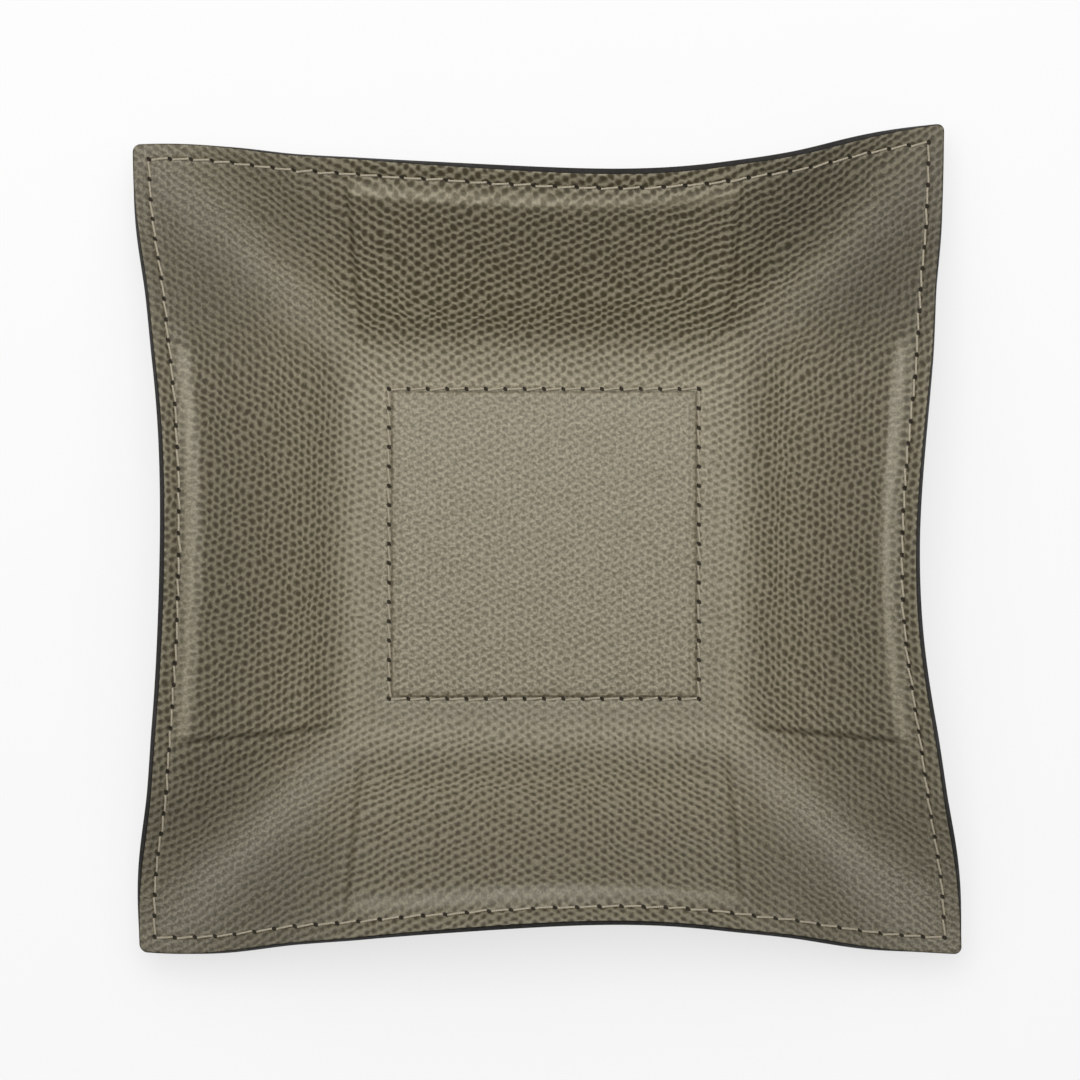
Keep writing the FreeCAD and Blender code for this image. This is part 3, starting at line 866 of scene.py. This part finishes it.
BOARD_FLECKS = (0.62, 0.7, 0.0, 0.5)
BOARD_BUMP = 0.05 * MM
BOARD_DARK = rgb(0.25, 0.235, 0.205)
BOARD_LIGHT = rgb(0.36, 0.34, 0.30)
BOARD_FLECK = rgb(0.15, 0.14, 0.12)


def stiffener_board():
    look = Shader("stiffener_board")
    place = look.place()
    fibre = look.noise(place, 700.0, 4.0, 0.65)
    fleck = look.noise(place, 260.0, 2.0)
    colour = look.mix(fibre, BOARD_DARK, BOARD_LIGHT)
    colour = look.mix(look.step(fleck, *BOARD_FLECKS), colour, BOARD_FLECK)
    return look.finish(colour, 0.88, look.bump(fibre, BOARD_BUMP), IOR=1.45)


# The leathers. Grid lines in mm: (end of span, step), finer where the leather bends sharply.
TOP_LINES = axis_lines((
    (BASE_BOARD_HALF - 0.5, 1.0),
    (FLOOR_HALF + 0.6, 0.25),
    (BOARD_END - 0.6, 0.7),
    (BOARD_END + BOARD_CLEARANCE + CRISP_END_RAMP + 1.2, 0.3),
    (BOARD_RIM - 0.6, 0.75),
    (BLANK_HALF, 0.28),
))
BOTTOM_LINES = axis_lines((
    (BASE_SEAM_HALF - 1.2, 2.0),
    (BASE_SEAM_HALF + 1.2, 0.12),
    (BOARD_FOOT, 1.2),
    (RIM_SEAM_HALF - 1.0, 1.8),
    (BLANK_HALF, 0.4),
))
COARSE_STEP = 2

# The groove underneath that takes the base stitches.
GROOVE_HALF = 0.35
GROOVE_DEPTH = 0.7
GROOVE_WALL = 0.12
GROOVE_ROOM = 0.05


def top_back(u, v):
    return HALF_GLUE + board_rise(*strayed(u, v))


def underside(u, v):
    """The underside, with the groove that takes the base stitches, and the rolled edge."""
    off = square_distance(u, v, BASE_SEAM_HALF)
    groove = 1 - rise(off, GROOVE_HALF, GROOVE_WALL)
    pull = SEAM_DENT * dent(square_distance(u, v, RIM_SEAM_HALF), SEAM_DENT_WIDTH)
    return UNDERSIDE + GROOVE_DEPTH * groove + rolled(u, v) + pull


def bottom_back(u, v):
    return np.full(np.shape(u), -HALF_GLUE)


# How the grain differs over the leather. A region's borders are (start, width) in mm of a smooth step,
# and a value of the floor is (in its middle, fall towards the north seam).
# The net's depth on the floor and at the foot of the walls, and what the north and south add there.
FLOOR_DEPTH = (0.2, 0.14)
FOOT_DEPTH = 0.42
FOOT_DEPTH_NORTH = 0.25
FOOT_DEPTH_SOUTH = 0.06
FOOT_CLIMB = 15.0
SEAM_PRESS = 0.65
SEAM_PRESS_WIDTH = 1.8

# How far the pits open on the floor, at the foot of the walls, on each wall and in the corners.
FLOOR_OPENING = (0.2, 0.15)
FOOT_OPENING = 0.25
FOOT_OPENING_NORTH = 0.3
PIT_OPENING = {"north": 1.0, "south": 0.62, "west": 0.8, "east": 0.8}
CORNER_OPENING = 0.6
DIAGONAL_OPENING = 0.25
NORTH_EAST_OPENING = 0.3

# The pale band along each wall board's upper edge and the wall below it: painted highlight on the band,
# painted shade on each wall, and depth of the net.
BAND_PAINTED_HIGHLIGHT = {"north": 0.22, "south": 0.21, "west": 0.36, "east": 0.35}
BAND_NET = {"north": 0.5, "south": 0.1, "west": 0.1, "east": 0.05}
BAND_ENDS = (BOARD_END, 3.0)
BAND_OFF = 0.8
BAND_WIDTH = 1.0
BAND_PRESS_WIDTH = 1.5
WALL_PAINTED_SHADE = {"north": -0.1, "south": -0.25, "west": -0.2, "east": -0.22}
WALL_NET = {"north": 1.0, "south": 0.86, "west": 0.88, "east": 0.88}
WALL_FOOT = (34.0, 14.0)
WALL_FLANK = (-6.0, 14.0)

# Share of the net that is pressed flat in each corner: along its diagonal, beside the west or east
# wall, beside the north or south wall, and at the tip.
CORNER_PRESS = {
    (-1, 1): (0.7, 0.42, 0.2, 0.35),
    (1, 1): (0.22, 0.3, 0.0, 0.1),
    (1, -1): (0.75, 0.2, 0.45, 0.6),
    (-1, -1): (0.72, 0.0, 0.35, 0.3),
}
# Painted shade in each corner.
CORNER_PAINTED_SHADE = {(-1, 1): -0.12, (1, 1): -0.22, (1, -1): -0.07, (-1, -1): -0.13}
CORNER = (30.0, 22.0)
CORNER_TIP = (42.0, 30.0)
DIAGONAL_WIDTH = 9.0
FLANK_WIDTH = 10.0

# Painted shade on the rim, the floor's south and the foot of the walls, and a painted highlight on the
# tips.
RIM_PAINTED_SHADE = (44.0, 26.0)
RIM_PAINTED_SHADE_TONE = 0.2
TIP_PAINTED_HIGHLIGHT = 0.03
FLOOR_PAINTED_SHADE_WIDTH = 8.0
FLOOR_PAINTED_SHADE_TONE = 0.08
FOOT_PAINTED_SHADE_START = (BASE_SEAM_HALF, 4.0)
FOOT_PAINTED_SHADE_END = (42.0, 10.0)
FOOT_PAINTED_SHADE_TONE = 0.11
FOOT_PAINTED_SHADE_TONE_ENDS = 0.05

# Which of the two leaning families leads, and by how much.
LEAN_DIAGONAL = (15.0, 40.0)
LEAN_FLANK_U = (34.0, 12.0)
LEAN_FLANK_V = (8.0, 24.0)
LEAN_INWARD = (16.0, 20.0)
LEAN_NORTH = (30.0, 15.0)
LEAN_SOUTH = (30.0, 12.0)
LEAN_SOUTH_U = (3.0, 15.0)
CORNER_LEAN = 0.46
FLANK_LEAN = 0.3
NORTH_LEAN = 0.16
SOUTH_LEAN = 0.3

# The third, upright family, which is stronger on the west and east walls.
UPRIGHT = 0.6
UPRIGHT_WALLS = 0.3
UPRIGHT_FOOT = (33.0, 10.0)
UPRIGHT_FLANK = (-24.0, 24.0)

# Specks where the net is pressed flat.
FLOOR_SPECKS = (1.05, 0.3)
BAND_SPECKS = 0.6
CORNER_SPECKS = 0.35


def on_floor(v, middle, fall):
    return middle - fall * v / BASE_SEAM_HALF


def grain_regions(flat):
    """The net at each flat place, in the order of the grain's attributes: how deep it is, which line
    families lead, its specks, its painted light and shade, and how far its pits open."""
    u, v = flat[:, 0], flat[:, 1]
    along_u, along_v = np.abs(u), np.abs(v)
    reach = np.maximum(along_u, along_v)
    within = reach < BASE_SEAM_HALF
    quarter = np.sign(u * v)
    far = reach.clip(1)
    to_north, to_south = clamp01(v / far), clamp01(-v / far)

    foot_depth = FOOT_DEPTH + FOOT_DEPTH_NORTH * to_north + FOOT_DEPTH_SOUTH * to_south
    climb = rise(reach, FLOOR_HALF, FOOT_CLIMB)
    depth = np.where(within, on_floor(v, *FLOOR_DEPTH), foot_depth + (1 - foot_depth) * climb)
    beside_seam = bell(reach - BASE_SEAM_HALF, SEAM_PRESS_WIDTH) * (reach > BASE_SEAM_HALF)
    depth *= 1 - SEAM_PRESS * beside_seam
    foot_opening = FOOT_OPENING + FOOT_OPENING_NORTH * to_north
    opening = np.where(within, on_floor(v, *FLOOR_OPENING), foot_opening)
    # Painted shade: darker towards the rim.
    shade = 1 - RIM_PAINTED_SHADE_TONE * rise(reach, *RIM_PAINTED_SHADE)

    bands = np.zeros(len(u))
    for along, across, side in four_sides(u, v):
        ends = 1 - rise(np.abs(along), *BAND_ENDS)
        off = across - BOARD_RIM - EDGE_SHIFT[side] - BAND_OFF
        band = ends * bell(off, BAND_WIDTH)
        depth *= 1 - (1 - BAND_NET[side]) * ends * bell(off, BAND_PRESS_WIDTH)
        bands += band
        # Painted highlight on the band along the board's upper edge.
        shade += BAND_PAINTED_HIGHLIGHT[side] * band
        wall = rise(across, *WALL_FOOT) * rise(across - np.abs(along), *WALL_FLANK)
        # Painted shade on the wall, darker on some sides than on others.
        shade += WALL_PAINTED_SHADE[side] * wall
        depth *= 1 - (1 - WALL_NET[side]) * wall
        opening += (PIT_OPENING[side] - opening) * wall

    corner = rise(along_u, *CORNER) * rise(along_v, *CORNER)
    tip = rise(np.minimum(along_u, along_v), *CORNER_TIP)
    split = along_u - along_v
    middle = bell(split, DIAGONAL_WIDTH)
    beside = smooth(split / FLANK_WIDTH + 0.5)
    for (side_u, side_v), (on_diagonal, by_side, by_end, at_tip) in CORNER_PRESS.items():
        here = corner * (u * side_u > 0) * (v * side_v > 0)
        flanks = by_side * beside + by_end * (1 - beside)
        press = on_diagonal * middle + flanks * (1 - middle)
        press += (1 - press) * at_tip * tip
        depth *= 1 - here * press
        # Painted shade in the corner.
        shade += CORNER_PAINTED_SHADE[side_u, side_v] * here
    open_share = np.where((u > 0) & (v > 0), NORTH_EAST_OPENING, 1.0)
    opening += (CORNER_OPENING - DIAGONAL_OPENING * middle - opening) * corner * open_share

    # Painted highlight on the tips, painted shade on the floor's south and on the foot of the walls.
    shade += TIP_PAINTED_HIGHLIGHT * tip
    inside = 1 - rise(reach, FLOOR_HALF, FLOOR_PAINTED_SHADE_WIDTH)
    shade -= FLOOR_PAINTED_SHADE_TONE * inside * (1 - v / BASE_SEAM_HALF)
    foot = rise(reach, *FOOT_PAINTED_SHADE_START) * (1 - rise(reach, *FOOT_PAINTED_SHADE_END))
    shade -= foot * (FOOT_PAINTED_SHADE_TONE + FOOT_PAINTED_SHADE_TONE_ENDS * along_v / far)

    diagonal = rise(along_u, *LEAN_DIAGONAL) * rise(along_v, *LEAN_DIAGONAL)
    flank = rise(along_u, *LEAN_FLANK_U) * rise(along_v, *LEAN_FLANK_V)
    inward = rise(np.minimum(along_u, along_v), *LEAN_INWARD)
    lean = quarter * np.maximum(CORNER_LEAN * inward, FLANK_LEAN * flank)
    lean += NORTH_LEAN * rise(v, *LEAN_NORTH) * (1 - diagonal)
    south = rise(-v, *LEAN_SOUTH) * (1 - diagonal)
    lean += SOUTH_LEAN * quarter * south * rise(along_u, *LEAN_SOUTH_U) * (1 - inward)
    on_walls = rise(along_u, *UPRIGHT_FOOT) * (1 - rise(along_v - along_u, *UPRIGHT_FLANK))
    upright = UPRIGHT + UPRIGHT_WALLS * on_walls

    specks = np.where(within, on_floor(v, *FLOOR_SPECKS), 1 + CORNER_SPECKS * corner)
    specks = (1 - BAND_SPECKS * bands) * specks
    return depth, lean, upright, specks, shade, opening


grain = grained_leather()
backing = backing_leather()
paint = edge_paint()
thread = sewing_thread()
board = stiffener_board()

places, faces, flat, bake = layered_sheet(TOP_LINES, COARSE_STEP, top_height, top_back, True)
top_leather = new_piece("top_leather_skin", places, faces, grain, "top_leather",
                        {"Flat": flat, "OFBake": bake}, dict(zip(GRAIN_ATTRIBUTES, grain_regions(flat))))

places, faces, flat, bake = layered_sheet(BOTTOM_LINES, COARSE_STEP, underside, bottom_back, False)
bottom_leather = new_piece("bottom_leather_skin", places, faces, backing, "bottom_leather",
                           {"Flat": flat, "OFBake": bake})

# Both leathers are cut flat to the same square before they are glued and folded.
BOARDS = ("base_board", "wall_board_north", "wall_board_west", "wall_board_south", "wall_board_east")

# The painted edge: a rounded bead that follows the cut edge of both leathers.
BEAD_STEPS = 12
BEAD_POWER = 2 / 3
BEAD_GAP = 0.01
BEAD_LIP = 0.03


def edge_bead():
    """Places and faces of the bead, in rings from its upper to its lower border."""
    walk = rim_walk(len(TOP_LINES))
    u, v = (np.array([grid[i, j] for i, j in walk]) for grid in blank_grid(TOP_LINES))
    tangent = np.stack((np.roll(u, -1) - np.roll(u, 1), np.roll(v, -1) - np.roll(v, 1)), -1)
    tangent /= np.linalg.norm(tangent, axis=-1, keepdims=True)
    out_u, out_v = tangent[:, 1], -tangent[:, 0]
    half_high = (TOP_FACE - UNDERSIDE) / 2 - EDGE_ROLL + BEAD_LIP
    rings = []
    for k in range(BEAD_STEPS + 1):
        turn = math.pi * (0.5 - k / BEAD_STEPS)
        out = BEAD_GAP + EDGE_COAT * abs(math.cos(turn)) ** BEAD_POWER
        high = math.copysign(half_high * abs(math.sin(turn)) ** BEAD_POWER, turn)
        rings.append(lay(u + out * out_u, v + out * out_v, np.full(len(u), high)))
    count = len(u)
    made = []
    for k in range(len(rings)):
        after = (k + 1) % len(rings)
        for s in range(count):
            t = (s + 1) % count
            made.append((k * count + s, after * count + s, after * count + t, k * count + t))
    return np.concatenate(rings), made


places, faces = edge_bead()
new_piece("edge_paint_bead", places, faces, paint, "edge_coat")

# Sewn stitches, each a twisted thread that dives into its needle holes, with the spreads of handwork.
STITCH_POINTS = 15
STITCH_SIDES = 10
STITCH_DIVE = 0.85
DIVE_POWER = 7
STITCH_SIT = 0.8
STITCH_SLANT = 0.2
STITCH_REACH = 0.75
SLANT_SPREAD = 0.35
DRIFT_SPREAD = 0.05
LIFT_SPREAD = 0.03
PLY_COUNT = 3
PLY_RELIEF = 0.1
PLY_TURN = 1.6
PROBE = 0.01
DRAW_SEED = 7


def square_stitches(half, count):
    """Flat needle places round a square seam, as (from, to) pairs of points."""
    corners = ((-half, -half), (half, -half), (half, half), (-half, half))
    pairs = []
    for k, start in enumerate(corners):
        end = corners[(k + 1) % len(corners)]
        marks = [tuple(s + (e - s) * n / count for s, e in zip(start, end)) for n in range(count + 1)]
        pairs += list(zip(marks[:-1], marks[1:]))
    return np.array(pairs)


def stitch_row(half, count, face_height, side, draw):
    """Tubes of all stitches of a square seam. side is 1 on the grain side and -1 underneath."""
    pairs = square_stitches(half, count)
    total = len(pairs)
    turn = (1 - np.cos(np.linspace(0, math.pi, STITCH_POINTS))) / 2
    share = 0.5 + (turn - 0.5) * STITCH_REACH
    run = pairs[:, 1] - pairs[:, 0]
    length = np.linalg.norm(run, axis=-1, keepdims=True)
    across = np.stack((run[:, 1], -run[:, 0]), -1) / length
    slant = STITCH_SLANT * (1 + SLANT_SPREAD * draw.standard_normal(total))
    drift = DRIFT_SPREAD * draw.standard_normal(total)
    lift = LIFT_SPREAD * draw.standard_normal(total)
    sway = drift[:, None] + slant[:, None] * (1 - 2 * share)
    flat = pairs[:, None, 0] + run[:, None] * share[:, None] + across[:, None] * sway[..., None]
    u, v = flat[..., 0], flat[..., 1]
    arch = np.abs(2 * share - 1) ** DIVE_POWER
    above = THREAD_RADIUS * STITCH_SIT + lift[:, None] - STITCH_DIVE * arch
    height = face_height(u, v) + side * above
    core = lay(u, v, height)
    over = lay(u, v, height + side * PROBE) - core
    along = np.gradient(core, axis=1)
    along /= np.linalg.norm(along, axis=-1, keepdims=True)
    over -= along * np.sum(over * along, axis=-1, keepdims=True)
    over /= np.linalg.norm(over, axis=-1, keepdims=True)
    aside = np.cross(along, over)
    angle = np.linspace(0, 2 * math.pi, STITCH_SIDES, endpoint=False)
    distance = share * length
    ply = PLY_COUNT * (angle - distance[..., None] * PLY_TURN)
    radius = THREAD_RADIUS * (1 + PLY_RELIEF * np.cos(ply))
    cosine, sine = np.cos(angle)[:, None], np.sin(angle)[:, None]
    ring = cosine * over[:, :, None] + sine * aside[:, :, None]
    places = core[:, :, None] + ring * radius[..., None]
    twist = np.stack(np.broadcast_arrays(angle / (2 * math.pi), distance[..., None]), -1)
    faces = []
    for rings in np.arange(total * STITCH_POINTS * STITCH_SIDES).reshape(total, STITCH_POINTS, -1).tolist():
        for low, high in zip(rings, rings[1:]):
            for s in range(STITCH_SIDES):
                t = (s + 1) % STITCH_SIDES
                faces.append((low[s], low[t], high[t], high[s]))
        faces += [rings[0][::-1], rings[-1]]
    return places.reshape(-1, 3), faces, twist.reshape(-1, 2)


def groove_bed(u, v):
    """Where the base stitches lie underneath: just inside the groove."""
    return np.full(np.shape(u), UNDERSIDE + 2 * THREAD_RADIUS + GROOVE_ROOM)


draw = np.random.default_rng(DRAW_SEED)
for name, half, count, face_height, side, node in (
    ("rim_stitches_top", RIM_SEAM_HALF, RIM_STITCHES, top_height, 1, "rim_needle_thread"),
    ("rim_stitches_under", RIM_SEAM_HALF, RIM_STITCHES, underside, -1, "rim_bobbin_thread"),
    ("base_stitches_top", BASE_SEAM_HALF, BASE_STITCHES, top_height, 1, "base_needle_thread"),
    ("base_stitches_under", BASE_SEAM_HALF, BASE_STITCHES, groove_bed, -1, "base_bobbin_thread"),
):
    places, faces, twist = stitch_row(half, count, face_height, side, draw)
    new_piece(name, places, faces, thread, node, {"Twist": twist})

# The boards stay as they are in the frame, with a board material.
for name in BOARDS:
    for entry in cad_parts[name].material_slots:
        entry.material = board


# Floor, light and camera.

scene = bpy.context.scene
scene.view_settings.view_transform = "Standard"


def shown(look):
    """1 for rays that show the backdrop itself, also in gloss and glass, and 0 for those that it lights."""
    path = look.add("LightPath")
    seen = look.largest(path.outputs["Is Camera Ray"], path.outputs["Is Glossy Ray"])
    return look.largest(seen, path.outputs["Is Transmission Ray"])


FLOOR_SIDE = 6.0
FLOOR_WHITE_SHARE = 0.7
FLOOR_GREY = rgb(0.9, 0.9, 0.9)
FLOOR_PALE = rgb(0.93, 0.93, 0.93)
WHITE = rgb(1, 1, 1)


def pale_floor():
    look = Shader("pale_floor")
    place = look.place()
    mottle = look.noise(place, 40.0, 2.0)
    lit = look.add("BsdfDiffuse", Color=look.mix(mottle, FLOOR_GREY, FLOOR_PALE))
    white = look.add("Emission", Color=WHITE, Strength=1.0)
    share = look.times(shown(look), FLOOR_WHITE_SHARE)
    return look.show("OutputMaterial", share, lit, white)


floor_mesh = bpy.data.meshes.new("floor")
reach = FLOOR_SIDE / 2
corners = [(-reach, -reach, 0), (reach, -reach, 0), (reach, reach, 0), (-reach, reach, 0)]
floor_mesh.from_pydata(corners, [], [(0, 1, 2, 3)])
floor_mesh.materials.append(pale_floor())
floor = bpy.data.objects.new("floor", floor_mesh)
scene.collection.objects.link(floor)

FILL_LIGHT = 0.2
studio = Shader("studio", "worlds")
fill = studio.add("Background", Color=WHITE, Strength=FILL_LIGHT)
white = studio.add("Background", Color=WHITE, Strength=1.0)
scene.world = studio.show("OutputWorld", shown(studio), fill, white)

# Two overhead softboxes: (name, side and height in m, radiance, place).
SOFTBOXES = (
    ("near_softbox", 0.46, 0.85, 5.2, (-0.06, 0.22)),
    ("wide_softbox", 1.4, 0.86, 1.1, (-0.08, 0.6)),
)
for name, wide, high, radiance, place in SOFTBOXES:
    lamp = bpy.data.lights.new(name, "AREA")
    lamp.shape = "SQUARE"
    lamp.size = wide
    lamp.energy = radiance * math.pi * wide**2
    softbox = bpy.data.objects.new(name, lamp)
    softbox.location = (*place, high)
    softbox.visible_camera = False
    scene.collection.objects.link(softbox)

# The camera looks straight down. The lens shows the frame's width at the height of the tray's floor.
FRAME_WIDE = 216 * MM
CAMERA_HIGH = 930 * MM
CAMERA_OFF = (-0.8 * MM, 0.8 * MM)
SENSOR_WIDE = 36
FLOOR_TOP = (TOP_FACE + BASE_RISE - UNDERSIDE) * MM
lens = bpy.data.cameras.new("camera")
lens.sensor_width = SENSOR_WIDE
lens.lens = SENSOR_WIDE * (CAMERA_HIGH - FLOOR_TOP) / FRAME_WIDE
camera = bpy.data.objects.new("camera", lens)
camera.location = (*CAMERA_OFF, CAMERA_HIGH)
scene.collection.objects.link(camera)
scene.camera = camera
